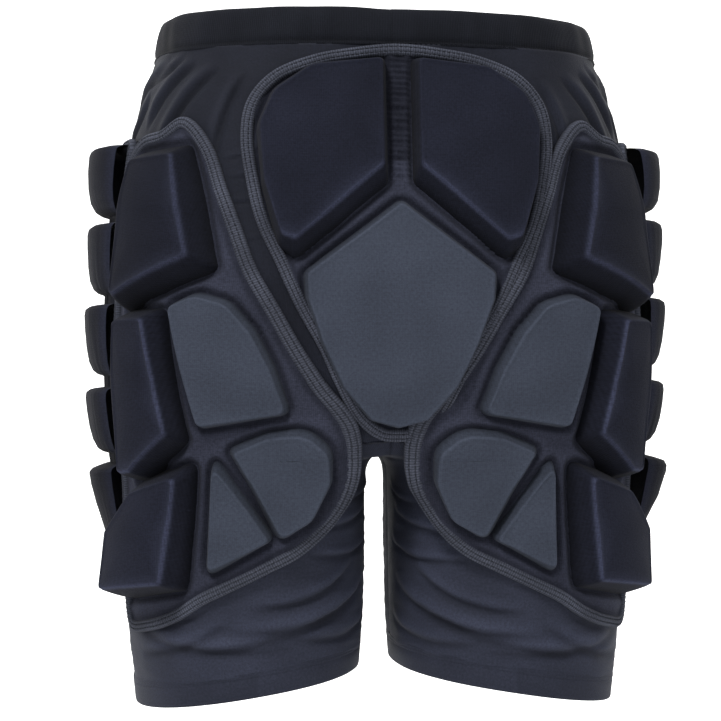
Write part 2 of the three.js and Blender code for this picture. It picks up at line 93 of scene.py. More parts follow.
def station(stations, height, column):
    """One value of the body at some heights, as a smooth curve through its stations."""
    level, value = stations[:, 0], stations[:, column]
    slope = np.empty_like(value)
    slope[1:-1] = (value[2:] - value[:-2]) / (level[2:] - level[:-2])
    slope[0] = (value[1] - value[0]) / (level[1] - level[0])
    slope[-1] = (value[-1] - value[-2]) / (level[-1] - level[-2])
    z = np.clip(height, level[0], level[-1])
    i = np.clip(np.searchsorted(level, z, side="right") - 1, 0, len(level) - 2)
    step = level[i + 1] - level[i]
    t = (z - level[i]) / step
    return (
        (2 * t**3 - 3 * t**2 + 1) * value[i] + (t**3 - 2 * t**2 + t) * step * slope[i]
        + (3 * t**2 - 2 * t**3) * value[i + 1] + (t**3 - t**2) * step * slope[i + 1]
    )


def oval_gap(dx, dy, half_width, half_depth, squareness):
    """Distance outside a squarish oval, measured along the ray from its middle."""
    r = np.hypot(dx, dy) + 1e-9
    across = (np.abs(dx) / half_width) ** squareness
    along = (np.abs(dy) / half_depth) ** squareness
    return r - r / (across + along + 1e-12) ** (1 / squareness)


def soft_min(a, b, blend=BLEND):
    """The smaller of two distances, with a smooth join where they are nearly equal."""
    near = np.maximum(blend - np.abs(a - b), 0) / blend
    return np.minimum(a, b) - near * near * blend / 4


class Section:
    """The body's outline at each of some heights, or one that bridges the fold under the seat."""

    def __init__(self, height, bridged=False):
        self.height = height
        self.bridged = bridged
        self.trunk = [station(PELVIS, height, k) for k in (1, 2, 3)]
        self.leg = [station(LEG, height, k) for k in (1, 2, 3, 4)]

    def gap(self, x, y):
        """Distance outside the body: negative inside it."""
        width, rear, front = self.trunk
        centre, forward, half_width, half_depth = self.leg
        trunk = oval_gap(x, y, width, np.where(y < 0, rear, front), 2.5)
        steep, blend = (0.35, 50.0) if self.bridged else (1.0, BLEND)
        pelvis = -soft_min(-trunk, (self.height - CROTCH) * steep)
        leg = oval_gap(np.abs(x) - centre, y - forward, half_width, half_depth, 2.2)
        return soft_min(pelvis, leg, blend)


def ray_out(x, y, dx, dy, height, far, bridged=False):
    """Where level rays leave the body, as points on it and its outward normals."""
    section = Section(height, bridged)
    near = np.full(x.shape, 12.0)
    far = np.broadcast_to(far, x.shape).astype(float).copy()
    for _ in range(22):
        middle = (near + far) / 2
        inside = section.gap(x + middle * dx, y + middle * dy) < 0
        near = np.where(inside, middle, near)
        far = np.where(inside, far, middle)
    px, py = x + near * dx, y + near * dy
    e = 0.5
    normal = np.stack([
        (section.gap(px + e, py) - section.gap(px - e, py)) / WIDER,
        (section.gap(px, py + e) - section.gap(px, py - e)) / WIDER,
        (Section(height + e, bridged).gap(px, py) - Section(height - e, bridged).gap(px, py)) / LONGER,
    ], -1)
    normal /= np.linalg.norm(normal, axis=-1, keepdims=True)
    return np.stack([px * WIDER, py * WIDER, height * LONGER], -1), normal


def to_row(points):
    """Points above the hems in millimetres, as points in the row frame in metres."""
    return (points - (0, 0, PATTERN_OUTSEAM * LONGER)) * MM


def on_leg(side, moved=0.0, bridged=False):
    """A leg's coordinates: round is the distance from the rear of the leg outwards."""

    def place(round_, height, lift=0.0):
        round_, height, lift = np.broadcast_arrays(
            np.asarray(round_, float) + moved, np.asarray(height, float), np.asarray(lift, float))
        angle = round_ / LEG_RADIUS
        dx, dy = np.sin(angle), -np.cos(angle)
        centre = station(LEG, height, 1)
        far = np.where(dx < -1e-3, np.minimum(centre / np.maximum(-dx, 1e-3), REACH), REACH)
        forward = station(LEG, height, 2)
        on, normal = ray_out(centre, forward, dx, dy, height, far)
        if bridged:
            over, over_normal = ray_out(centre, forward, dx, dy, height, far, True)
            share = (np.clip((-8 - round_) / 34, 0, 1) * np.clip((205 - height) / 20, 0, 1))[..., None]
            on, normal = on + (over - on) * share, normal + (over_normal - normal) * share
            normal /= np.linalg.norm(normal, axis=-1, keepdims=True)
        return to_row((on + lift[..., None] * normal) * (side, 1, 1))

    return place


def on_seat(across, height, lift=0.0):
    """The seat's coordinates: across is the distance from the middle of the rear."""
    across, height, lift = np.broadcast_arrays(
        np.asarray(across, float) + SEAT_MOVED, np.asarray(height, float), np.asarray(lift, float))
    zero = np.zeros(across.shape)
    on, normal = ray_out(across, zero, zero, zero - 1, height, SEAT_REACH)
    return to_row(on + lift[..., None] * normal)


def on_waist(angle, height, lift=0.0):
    """The waistband's coordinates: angle from the middle of the rear, in radians."""
    angle, height, lift = np.broadcast_arrays(
        np.asarray(angle, float), np.asarray(height, float), np.asarray(lift, float))
    zero = np.zeros(angle.shape)
    on, normal = ray_out(zero, zero, np.sin(angle), -np.cos(angle), height, REACH)
    normal[..., 2] = 0
    normal /= np.linalg.norm(normal, axis=-1, keepdims=True)
    return to_row(on + lift[..., None] * normal)


# ---- Noise and outlines ----------------------------------------------------------------------


def wander(x, y, scale, seed):
    """Smooth noise from -1 to 1 over the plane, with features about scale apart."""
    rng = np.random.default_rng(seed)
    total = np.zeros(np.broadcast(x, y).shape)
    for _ in range(9):
        turn = rng.uniform(0, 2 * math.pi)
        wave = rng.uniform(0.7, 1.5) * 2 * math.pi / scale
        phase = rng.uniform(0, 2 * math.pi)
        total += np.sin((x * math.cos(turn) + y * math.sin(turn)) * wave / 2 + phase)
    return total / 4.5


def bump(x, width):
    return np.exp(-((x / width) ** 2))


def grown(corners, distance):
    """A polygon's corners moved outwards, or inwards where distance is negative."""
    corners = np.asarray(corners, float)
    before, after = np.roll(corners, 1, 0), np.roll(corners, -1, 0)
    area = np.sum(corners[:, 0] * after[:, 1] - after[:, 0] * corners[:, 1])
    turn = 1 if area > 0 else -1
    a = corners - before
    b = after - corners
    a /= np.linalg.norm(a, axis=1, keepdims=True)
    b /= np.linalg.norm(b, axis=1, keepdims=True)
    outward = np.stack([a[:, 1] + b[:, 1], -a[:, 0] - b[:, 0]], 1) * turn
    outward /= np.linalg.norm(outward, axis=1, keepdims=True)
    sharp = np.maximum((outward * np.stack([b[:, 1], -b[:, 0]], 1) * turn).sum(1), 0.5)
    return corners + outward * (distance / sharp)[:, None]


def rounded(corners, radii, count):
    """A closed outline with round corners, as count points for each edge and each corner."""
    corners = np.asarray(corners, float)
    radii = np.broadcast_to(radii, len(corners))
    points = []
    trims = []
    for i, corner in enumerate(corners):
        a = corners[i - 1] - corner
        b = corners[(i + 1) % len(corners)] - corner
        la, lb = np.linalg.norm(a), np.linalg.norm(b)
        half = math.acos(np.clip(a @ b / la / lb, -1, 1)) / 2
        trims.append(max(min(radii[i] / max(math.tan(half), 0.05), la * 0.48, lb * 0.48), 0.5))
    for i, corner in enumerate(corners):
        after = corners[(i + 1) % len(corners)]
        before = corners[i - 1]
        start = corner + (before - corner) / np.linalg.norm(before - corner) * trims[i]
        end = corner + (after - corner) / np.linalg.norm(after - corner) * trims[i]
        t = np.linspace(0, 1, count, endpoint=False)[:, None]
        points.append((1 - t) ** 2 * start + 2 * t * (1 - t) * corner + t**2 * end)
        turn = (i + 1) % len(corners)
        stop = after + (corner - after) / np.linalg.norm(corner - after) * trims[turn]
        points.append(end + (stop - end) * t)
    return np.concatenate(points)


def smooth_loop(points, step):
    """A closed curve through the points, cut into even steps."""
    p = np.asarray(points, float)
    t = np.linspace(0, 1, 12, endpoint=False)[:, None]
    curve = []
    for i in range(len(p)):
        a, b, c, d = p[i - 1], p[i], p[(i + 1) % len(p)], p[(i + 2) % len(p)]
        curve.append(0.5 * (2 * b + (c - a) * t + (2 * a - 5 * b + 4 * c - d) * t**2
                            + (3 * b - a - 3 * c + d) * t**3))
    return even(np.concatenate(curve), step)


def even(loop, step):
    """A closed curve cut into even steps."""
    closed = np.vstack([loop, loop[:1]])
    along = np.concatenate([[0], np.cumsum(np.linalg.norm(np.diff(closed, axis=0), axis=1))])
    count = max(8, round(along[-1] / step))
    at = np.linspace(0, along[-1], count, endpoint=False)
    return np.stack([np.interp(at, along, closed[:, k]) for k in (0, 1)], 1)


def distance_to(loop, x, y):
    """Signed distance to a closed outline: negative inside."""
    shape = x.shape
    p = np.stack([x.ravel(), y.ravel()], 1)
    a, b = loop, np.roll(loop, -1, 0)
    best = np.full(len(p), 1e9)
    inside = np.zeros(len(p), bool)
    for (ax, ay), (bx, by) in zip(a, b):
        dx, dy = bx - ax, by - ay
        t = np.clip(((p[:, 0] - ax) * dx + (p[:, 1] - ay) * dy) / (dx * dx + dy * dy + 1e-12), 0, 1)
        best = np.minimum(best, (p[:, 0] - ax - t * dx) ** 2 + (p[:, 1] - ay - t * dy) ** 2)
        crosses = (ay > p[:, 1]) != (by > p[:, 1])
        at = ax + (p[:, 1] - ay) * dx / (dy if dy else 1e-12)
        inside ^= crosses & (p[:, 0] < at)
    return (np.sqrt(best) * np.where(inside, -1, 1)).reshape(shape)


def mirrored(half):
    """A whole outline from its half where x is not negative."""
    inner = [(x, z) for x, z in half if x > 0][::-1]
    return list(half) + [(-x, z) for x, z in inner]


# ---- Meshes -----------------------------------------------------------------------------------


def make_object(name, points, faces, uv, material, tone=1.0):
    """A smooth mesh with its cloth coordinates, and how light its cloth is made at each point: partly its
    own colour and partly painted light and shade.
    """
    mesh = bpy.data.meshes.new(name)
    mesh.from_pydata(points.reshape(-1, 3).tolist(), [], [tuple(f) for f in faces])
    mesh.update()
    mesh.shade_smooth()
    layer = mesh.uv_layers.new(name="Cloth")
    corner = np.empty(len(mesh.loops), np.int32)
    mesh.loops.foreach_get("vertex_index", corner)
    layer.data.foreach_set("uv", (uv.reshape(-1, 2)[corner] * MM).ravel())
    shade = mesh.attributes.new("Tone", "FLOAT", "POINT")
    shade.data.foreach_set("value", np.broadcast_to(np.asarray(tone, float).ravel(), len(mesh.vertices)))
    mesh.materials.append(material)
    piece = bpy.data.objects.new(name, mesh)
    bpy.context.scene.collection.objects.link(piece)
    return piece


def face_outwards(piece, reference):
    """Turns the faces over if most of them look towards the reference point."""
    mesh = piece.data
    score = sum(f.area * f.normal.dot(f.center - Vector(reference)) for f in mesh.polygons)
    if score < 0:
        mesh.flip_normals()
        mesh.update()


def grid_faces(rows, columns, closed_rows=False, closed_columns=False):
    faces = []
    for i in range(rows if closed_rows else rows - 1):
        for j in range(columns if closed_columns else columns - 1):
            k, m = (i + 1) % rows, (j + 1) % columns
            faces.append((i * columns + j, i * columns + m, k * columns + m, k * columns + j))
    return faces


def ring_object(name, rings, centre, uv_rings, uv_centre, material, tone):
    """A surface of closed rings that ends in a centre point."""
    tone = np.append(tone.ravel(), tone[-1].mean())
    points = np.concatenate([rings.reshape(-1, 3), centre.reshape(1, 3)])
    uv = np.concatenate([uv_rings.reshape(-1, 2), uv_centre.reshape(1, 2)])
    rows, columns = rings.shape[:2]
    faces = grid_faces(rows, columns, closed_columns=True)
    last = (rows - 1) * columns
    faces += [(last + j, last + (j + 1) % columns, rows * columns) for j in range(columns)]
    return make_object(name, points, faces, uv, material, tone)


def keep(piece, slot, *nodes):
    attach(piece, "root")
    if nodes:
        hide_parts(*nodes)
    return piece


# ---- Materials --------------------------------------------------------------------------------


def srgb(r, g, b):
    return tuple(c / 12.92 if c <= 0.04045 else ((c + 0.055) / 1.055) ** 2.4
                 for c in (r / 255, g / 255, b / 255)) + (1.0,)


class Nodes:
    """Short names for building a material's nodes."""

    def __init__(self, name):
        self.material = bpy.data.materials.new(name)
        self.material.use_nodes = True
        self.tree = self.material.node_tree
        self.shader = self.tree.nodes["Principled BSDF"]

    def add(self, kind, inputs=(), **settings):
        node = self.tree.nodes.new(kind)
        for key, value in settings.items():
            setattr(node, key, value)
        for socket, value in dict(inputs).items():
            if isinstance(value, bpy.types.NodeSocket):
                self.tree.links.new(value, node.inputs[socket])
            else:
                node.inputs[socket].default_value = value
        return node

    def math(self, operation, a, b):
        return self.add("ShaderNodeMath", {0: a, 1: b}, operation=operation).outputs[0]

    def link(self, a, b):
        self.tree.links.new(a, b)

    def spread(self, value, low, high, to_low, to_high):
        return self.add("ShaderNodeMapRange", {
            "Value": value, "From Min": low, "From Max": high, "To Min": to_low, "To Max": to_high,
        }).outputs[0]


def cloth_material(name, colour, pitch=0.9, fuzz=0.35, depth=0.35, ribs=(1, 1), rough=0.9,
                   sheen=0.03, specular=0.1, patch=0.16, mottle=1.0):
    """Knit cloth: crossing rows of loops at a pitch in millimetres, with fuzz and uneven dye."""
    n = Nodes(name)
    uv = n.add("ShaderNodeUVMap", uv_map="Cloth").outputs[0]
    warped = n.add("ShaderNodeTexNoise", {"Vector": uv, "Scale": 240.0, "Detail": 2.0}).outputs["Color"]
    bent = n.add("ShaderNodeVectorMath", {0: warped, 1: (0.5, 0.5, 0.5)}, operation="SUBTRACT").outputs[0]
    bent = n.add("ShaderNodeVectorMath", {0: bent, "Scale": pitch * 0.0006}, operation="SCALE").outputs[0]
    place = n.add("ShaderNodeVectorMath", {0: uv, 1: bent}, operation="ADD").outputs[0]
    rows = []
    for axis, strength in zip("XY", ribs):
        wave = n.add("ShaderNodeTexWave", {"Vector": place, "Scale": 1 / (pitch * MM) * 2 * math.pi / 20},
                     wave_type="BANDS", bands_direction=axis, wave_profile="SIN").outputs["Fac"]
        rows.append(n.spread(wave, 0, 1, 1 - strength, 1))
    loops = n.math("MULTIPLY", rows[0], rows[1])
    grain = n.add("ShaderNodeTexNoise", {"Vector": uv, "Scale": 620.0, "Detail": 4.0,
                                         "Roughness": 0.75}).outputs["Fac"]
    height = n.math("ADD", n.math("MULTIPLY", loops, 1 - fuzz), n.math("MULTIPLY", grain, fuzz * 2))
    n.link(n.add("ShaderNodeBump", {"Height": height, "Distance": depth * MM, "Strength": 0.7}).outputs[0],
           n.shader.inputs["Normal"])
    lightness = n.add("ShaderNodeTexNoise", {"Vector": uv, "Scale": 22.0, "Detail": 4.0}).outputs["Fac"]
    shade = n.math("MULTIPLY", n.spread(height, 0.3, 1.15, 1 - 0.8 * mottle, 1 + 0.7 * mottle),
                   n.spread(lightness, 0.3, 0.7, 1 - patch, 1 + patch))
    # Tone: each point's lightness, partly the cloth's own colour and partly painted light and shade.
    tone = n.add("ShaderNodeAttribute", attribute_name="Tone").outputs["Fac"]
    shade = n.math("MULTIPLY", shade, tone)
    tint = n.add("ShaderNodeMix", {0: 1.0, 6: colour, 7: (1, 1, 1, 1)}, data_type="RGBA",
                 blend_type="MULTIPLY")
    n.link(n.add("ShaderNodeCombineColor", {0: shade, 1: shade, 2: shade}).outputs[0], tint.inputs[7])
    n.link(tint.outputs[2], n.shader.inputs["Base Color"])
    n.link(n.spread(grain, 0.3, 0.7, rough - 0.08, min(rough + 0.08, 1)), n.shader.inputs["Roughness"])
    n.shader.inputs["Specular IOR Level"].default_value = specular
    n.shader.inputs["Sheen Weight"].default_value = sheen
    n.shader.inputs["Sheen Roughness"].default_value = 0.5
    return n.material


DARK = cloth_material("dark_cover", srgb(27, 29, 40), pitch=1.0, ribs=(0.35, 0.35), fuzz=0.6)
LIGHT = cloth_material("light_cover", srgb(60, 65, 77), pitch=1.0, ribs=(0.3, 0.3), fuzz=0.65,
                       patch=0.08, mottle=0.6)
SHEET = cloth_material("laminate", srgb(46, 48, 60), pitch=1.0, ribs=(0.35, 0.35), fuzz=0.6)
STRETCH = cloth_material("stretch_fabric", srgb(45, 48, 61), pitch=0.8, ribs=(0.4, 0.3), fuzz=0.5,
                         sheen=0.04, rough=0.7, specular=0.13)
WAIST = cloth_material("waistband_fabric", srgb(26, 28, 35), pitch=1.2, ribs=(0.7, 0.2), rough=0.8)
TAPE = cloth_material("binding_tape", srgb(68, 71, 82), pitch=1.5, ribs=(0.8, 0.2), depth=0.5,
                      fuzz=0.5, rough=0.75)
THREAD = cloth_material("thread", srgb(72, 75, 85), pitch=0.5, rough=0.6)

# ---- Shorts -----------------------------------------------------------------------------------

WAISTBAND_HEIGHT = 22.0
HEM_HEIGHT = 16.0
FABRIC = 1.2
PANEL_OVERLAP = 0.2  # past the outseam and inseam
OFF_MIDDLE = 0.05  # how near a panel comes to the middle of the body


def hem_height(across):
    """The slanted hem's lowest point at some distance from the middle of the body."""
    return 24 * (158 - np.abs(across)) / 148


def inner_edge(facing, height):
    """How far round towards the middle a panel reaches, at each height."""
    rear = 0.0 if facing > 0 else 2 * QUARTER_TURN
    inside = np.full(height.shape, rear)
    inseam = np.full(height.shape, rear - facing * (QUARTER_TURN + PANEL_OVERLAP))
    outside = inseam
    place = on_leg(1)
    at_inseam = place(inseam, height)[..., 0] > OFF_MIDDLE * MM
    for _ in range(16):
        middle = (inside + outside) / 2
        clear = place(middle, height)[..., 0] > OFF_MIDDLE * MM
        inside = np.where(clear, middle, inside)
        outside = np.where(clear, outside, middle)
    return np.where(at_inseam, inseam, inside)


# Folds in the cloth: where each starts and ends round the leg and in height, how far its middle
# sags, its width, and its depth.
LEG_FOLDS = [
    (-105, 128, -30, 118, 5, 3.6, 2.2), (-110, 108, -34, 100, 6, 3.4, 2.2), (-78, 94, 4, 66, 8, 4.2, 2.6),
    (-105, 82, 22, 50, 9, 5.0, 2.8), (-70, 66, 55, 38, 7, 5.0, 2.4), (14, 58, 92, 34, 6, 4.6, 2.4),
    (30, 66, 100, 50, 4, 3.6, 1.8), (-115, 58, -24, 46, 6, 4.4, 2.0), (-28, 42, 90, 50, 7, 4.6, 1.8),
    (-118, 144, -72, 134, 3, 2.6, 1.6), (170, 60, 260, 44, 7, 5.0, 2.2), (165, 110, 265, 96, 8, 5.0, 2.0),
    (180, 160, 270, 138, 8, 5.0, 1.8), (150, 84, 210, 74, 5, 4.6, 1.8),
]
HIP_FOLDS = [
    (34, 404, 74, 352, -6, 4.4, 2.4), (52, 408, 92, 368, -5, 4.4, 2.4), (16, 400, 34, 346, -4, 3.6, 1.8),
    (0, 392, 14, 330, 3, 3.4, 1.5), (80, 408, 128, 384, -4, 4.5, 2.2), (98, 392, 128, 360, 4, 4.0, 1.8),
    (64, 412, 110, 398, 3, 3.4, 1.7), (6, 352, 28, 345, 1, 1.8, 0.7), (5, 338, 25, 333, 1, 1.5, 0.6),
    (4, 322, 22, 318, 1, 1.6, 0.7), (-2, 300, 14, 293, 1, 1.6, 0.5),
    (200, 380, 262, 330, 8, 5.0, 1.8), (175, 330, 270, 300, 8, 6.0, 1.6), (190, 250, 280, 226, 8, 6.0, 1.6),
    (190, 400, 282, 392, 3, 4.0, 1.5), (215, 300, 282, 262, 6, 5.0, 1.5),
]


def folds(round_, height, listed):
    """The lift that a list of folds gives the cloth: a crease with a soft welt beside it."""
    lift = np.zeros(np.broadcast(round_, height).shape)
    for u0, z0, u1, z1, sag, width, depth in listed:
        du, dz = u1 - u0, z1 - z0
        length = math.hypot(du, dz)
        t = ((round_ - u0) * du + (height - z0) * dz) / length**2
        off = (-(round_ - u0) * dz + (height - z0) * du) / length
        off = off + 4 * sag * t * (1 - t)
        fade = np.clip(np.minimum(t, 1 - t) * 4, 0, 1) ** 0.8 * ((t > 0) & (t < 1))
        lift += depth * fade * (0.8 * bump(off - 1.2 * width, width) - bump(off, 0.6 * width))
    return lift


def shorts_lift(round_, height, side):
    """How far the cloth stands off the body."""
    seed = 3 if side > 0 else 11
    loose = 0.55 * wander(round_, height * 0.6, 60, seed) + 0.3 * wander(round_, height, 22, seed + 1)
    low = np.clip((170 - height) / 60, 0.25, 1)
    crinkle = 0.28 * wander(round_ * 0.4, height * 2.2, 9, seed + 2) * low
    nudge = 3.0 * side * wander(round_, height, 80, 17)
    return loose + crinkle + folds(round_ + nudge, height + 2 * side, LEG_FOLDS + HIP_FOLDS) + 1.2


def taken_in(round_, height):
    """How far the cloth lies inside the body's surface: on the inner thighs, and at the waist."""
    inner = bump((np.abs(round_ - QUARTER_TURN) - 2 * QUARTER_TURN) / 60, 1)
    below_crotch = np.clip((176 - height) / 16, 0, 1)
    waist = bump((round_ - QUARTER_TURN) / 75, 1) * np.clip((height - 345) / 75, 0, 1) ** 1.2
    return 4.6 * inner * below_crotch + 1.8 * waist


def cloth_tone(round_, height, side):
    """Darker round the hips, with painted sheen in broad patches, painted shade inside the creases and
    painted light on the welts beside them.
    """
    lift = folds(round_, height + 2 * side, LEG_FOLDS + HIP_FOLDS)
    hips = 1 - 0.58 * np.clip((height - 120) / 120, 0, 1)
    painted_sheen = 1 + 0.25 * np.clip(wander(round_, height * 0.5, 46, 71 + side), 0, 1)
    # The folds' lift paints shade inside the creases and light on the welts.
    return hips * painted_sheen * np.clip(1 + 0.17 * lift, 0.5, 1.6)


def shorts_panel(name, side, facing):
    rows, columns = 260, 190
    top = PATTERN_OUTSEAM - WAISTBAND_HEIGHT + 2
    t = np.linspace(0, 1, rows)[:, None]
    s = np.linspace(0, 1, columns)[None, :]
    level = 20 + (top - 20) * t
    inner = inner_edge(facing, level[:, 0])[:, None]
    outseam = QUARTER_TURN + facing * PANEL_OVERLAP
    round_ = inner + (outseam - inner) * s
    place = on_leg(side)
    across = place(round_, np.full(round_.shape, 20.0))[..., 0] / MM / WIDER
    start = hem_height(across) + HEM_HEIGHT - 1
    height = start + (top - start) * t
    inner = inner_edge(facing, height[:, 0])[:, None]
    round_ = inner + (outseam - inner) * s
    lift = shorts_lift(round_, height, side)
    seam = np.minimum(s * 60, (1 - s) * 60)
    lift = lift * np.clip(seam / 3, 0, 1) + 0.8
    lift -= 0.7 * bump(seam, 0.8)
    lift = np.clip(lift, 0.2, 4.6) - taken_in(round_, height)
    points = place(round_, height, lift)
    uv = np.stack([round_, height], -1)
    piece = make_object(name, points, grid_faces(rows, columns), uv, STRETCH,
                        cloth_tone(round_, height, side))
    face_outwards(piece, (side * LEG_MIDDLE, 0.0, -0.25))
    thick = piece.modifiers.new("wall", "SOLIDIFY")
    thick.thickness = FABRIC * MM * 0.7
    thick.offset = -1
    return piece


for side, end in SIDES:
    for facing, part in ((1, "rear"), (-1, "front")):
        name = f"{part}_panel{end}"
        cloth = shorts_panel(f"shorts_{part}{end}", side, facing)
        keep(cloth, "stretch_fabric", name)


def loop_piece(name, sections, uv, material, tone):
    """A closed loop of closed sections."""
    rows, columns = sections.shape[:2]
    faces = grid_faces(rows, columns, closed_rows=True, closed_columns=True)
    return make_object(name, sections, faces, uv, material, tone)


def hem_band(side, end):
    """The turned hem: a flat band, with two grooves for its rows of stitches."""
    steps = 420
    round_ = np.linspace(0, 4 * QUARTER_TURN, steps, endpoint=False)[:, None]
    profile = [(0.2, 0.6), (0.9, 0.15), (1.6, 0.0), (2.2, 0.5), (2.5, 2), (2.4, 8), (2.35, 12.4), (1.9, 13),
               (2.3, 13.6), (2.35, 14.6), (1.9, 15.2), (2.2, 15.8), (1.8, 17), (0.9, 17.4), (0.1, 16.5),
               (-0.2, 12), (-0.2, 6), (0.0, 2)]
    out, rise = (np.array(v, float)[None, :] for v in zip(*profile))
    place = on_leg(side)
    across = place(round_, 20.0)[..., 0] / MM / WIDER
    ripple = 0.5 * wander(round_, 0, 34, 5 + side) + folds(round_, 26, LEG_FOLDS)
    height = hem_height(across) + rise + 0.5
    points = place(round_, height, out + 0.35 * ripple - taken_in(round_, height))
    uv = np.stack(np.broadcast_arrays(round_, height), -1)
    piece = loop_piece(f"hem{end}", points, uv, STRETCH, 0.92)
    face_outwards(piece, (side * LEG_MIDDLE, 0, -0.42))
    return keep(piece, "stretch_fabric", f"hem_band{end}")


def stitch_run(name, path, normals, pitch, length, radius, material, slot="binding_tape"):
    """Raised stitches along a path of points in metres, each a small thread that dips at its ends."""
    along = np.concatenate([[0], np.cumsum(np.linalg.norm(np.diff(path, axis=0), axis=1))])
    count = int(along[-1] / (pitch * MM))
    spots = (np.arange(count) + 0.5) * along[-1] / count
    steps, sides = 5, 6
    t = np.linspace(-0.5, 0.5, steps)
    at = spots[:, None] + t[None, :] * length * MM
    centre = np.stack([np.interp(at, along, path[:, k]) for k in range(3)], -1)
    up = np.stack([np.interp(at, along, normals[:, k]) for k in range(3)], -1)
    centre = centre + up * (radius * MM * (1.2 - 9 * t**2)[None, :, None])
    ahead = np.gradient(centre, axis=1)
    ahead /= np.linalg.norm(ahead, axis=-1, keepdims=True)
    across = np.cross(ahead, up)
    across /= np.linalg.norm(across, axis=-1, keepdims=True)
    lifted = np.cross(across, ahead)
    turn = np.linspace(0, 2 * math.pi, sides, endpoint=False)
    thin = (np.array([0.5, 0.95, 1, 0.95, 0.5]) * radius * MM)[None, :, None, None]
    points = centre[:, :, None, :] + thin * (np.cos(turn)[:, None] * across[:, :, None, :]
                                             + np.sin(turn)[:, None] * lifted[:, :, None, :])
    base = np.array(grid_faces(steps, sides, closed_columns=True))
    each = steps * sides
    faces = (base[None] + (np.arange(count) * each)[:, None, None]).reshape(-1, 4).tolist()
    for k in range(count):
        faces.append(tuple(k * each + j for j in range(sides))[::-1])
        faces.append(tuple(k * each + each - sides + j for j in range(sides)))
    uv = np.zeros((count, steps, sides, 2))
    uv[..., 0] = at[:, :, None] / MM
    uv[..., 1] = np.arange(sides)[None, None, :] * 0.3
    piece = make_object(name, points, faces, uv, material)
    return keep(piece, slot)


WAIST_RADIUS = 125.0
WAIST_SEAM = 2.6  # above the casing's lower edge


def waistband():
    """The casing: folded over the elastic, gathered by it, and stitched at its lower edge."""
    steps = 900
    angle = np.linspace(0, 2 * math.pi, steps, endpoint=False)[:, None]
    low = PATTERN_OUTSEAM - WAISTBAND_HEIGHT
    profile = [(1.3, 0.0), (2.2, 0.6), (1.9, 2.0), (1.6, 2.9), (2.1, 3.8), (2.7, 6), (2.9, 9), (3.0, 13),
               (2.8, 16.5), (2.3, 19.5), (1.4, 21.4), (0, 22.0), (-1.5, 21.4), (-2.4, 19.5), (-2.7, 15),
               (-2.7, 8), (-2.3, 3), (-1.5, 0.5), (0, 0.2)]
    out, rise = (np.array(v, float)[None, :] for v in zip(*profile))
    round_ = angle * WAIST_RADIUS
    pucker = 0.45 * wander(round_, rise * 0.25, 7, 21) + 0.75 * wander(round_, rise * 0.5, 26, 22)
    grip = np.sin(np.clip(rise / WAISTBAND_HEIGHT, 0, 1) * math.pi)
    grip = np.clip(grip + 0.35, 0, 1) * np.sign(out + 0.01)
    sideways = np.sin(angle) ** 2
    inwards = sideways * (1.2 + 0.04 * rise)
    points = on_waist(angle + 0 * out, low + rise + 0 * angle, out + pucker * grip - inwards)
    raised = 0.5 * wander(round_, 0, 70, 24) + 0.35 * wander(round_, 0, 22, 25) + 1.6
    raised = raised + 0.8 - 1.6 * np.sin(angle) + 0.8 * sideways
    points[..., 2] += MM * raised * (0.3 + 0.7 * rise / WAISTBAND_HEIGHT)
    uv = np.stack([round_ + 0 * out, low + rise + 0 * round_], -1)
    # Painted light on the raised puckers and painted shade in their dips; darker along the seam line on the
    # outside.
    shade = 1 + 0.18 * pucker * grip - 0.35 * bump(rise - WAIST_SEAM, 1.0) * (out > 0)
    piece = loop_piece("waistband", points, uv, WAIST, np.clip(shade, 0.4, 1.5))
    face_outwards(piece, (0, 0, -0.01))
    keep(piece, "waistband_fabric", "waistband_casing", "waistband_elastic")
    seam = on_waist(angle[:, 0], np.full(steps, low + WAIST_SEAM), 1.95 - 1.3 * sideways[:, 0])
    inside = on_waist(angle[:, 0], np.full(steps, low + WAIST_SEAM), -5.0)
    outwards = seam - inside
    outwards /= np.linalg.norm(outwards, axis=1, keepdims=True)
    stitch_run("waistband_stitching", np.vstack([seam, seam[:1]]), np.vstack([outwards, outwards[:1]]),
               3.2, 2.3, 0.3, WAIST, "waistband_fabric")


waistband()
for side, end in SIDES:
    hem_band(side, end)

# ---- Padded panels -----------------------------------------------------------------------------

TAILBONE_EDGE = [
    (0, 415.5), (30, 412.5), (52, 408), (74, 398.5), (88, 382), (92, 360), (89, 334), (83, 308), (72, 283),
    (60, 257), (46, 233), (36, 212), (25, 192), (12, 181), (0, 179)]
SIDE_EDGE = [
    (65, 364), (49, 371), (33, 354), (23, 327), (13, 301), (4, 278), (-9, 254), (-21, 231), (-32, 212),
    (-43, 195), (-49, 181), (-52, 167), (-52, 150), (-48, 134), (-40, 119), (-27, 105), (-8, 94), (14, 83),
    (30, 75), (48, 64), (70, 57), (94, 56), (100, 80), (100, 110), (100, 200), (100, 290), (99, 325),
    (94, 350), (82, 361)]
SHEET_TOP = 5.0
TAPE_WIDTH = 7.0
TAPE_STEP = 0.9
STITCH_ROW = 1.4  # each row's distance from the tape's middle
STITCH_PITCH = 3.0

# How light each pad's cloth is made: the hip pad darker, the lower pad lighter.
PAD_TONE = {"hip": 0.78, "lower": 1.1}
PAD_SUNK = 1.8  # a pad's foot, below the sheet's top
PAD_LIP = 0.5
PAD_CROWN = 1.3


class Pad:
    """A moulded pad: its outline on the sheet, its ridge, and how high it stands."""

    def __init__(self, name, base, face, height, corner, tone, flare=0.0, droop=0.0):
        self.name, self.height = name, height
        self.flare, self.droop = flare, droop
        self.dark = tone == "dark"
        self.lightness = PAD_TONE.get(name, 1.0)
        self.ridge = rounded(face, corner, 22)
        self.base = rounded(base, np.asarray(corner) + 2.5, 22)
        self.centre = self.ridge.mean(0)


def flip(corners, side):
    return [(side * x, z) for x, z in corners]


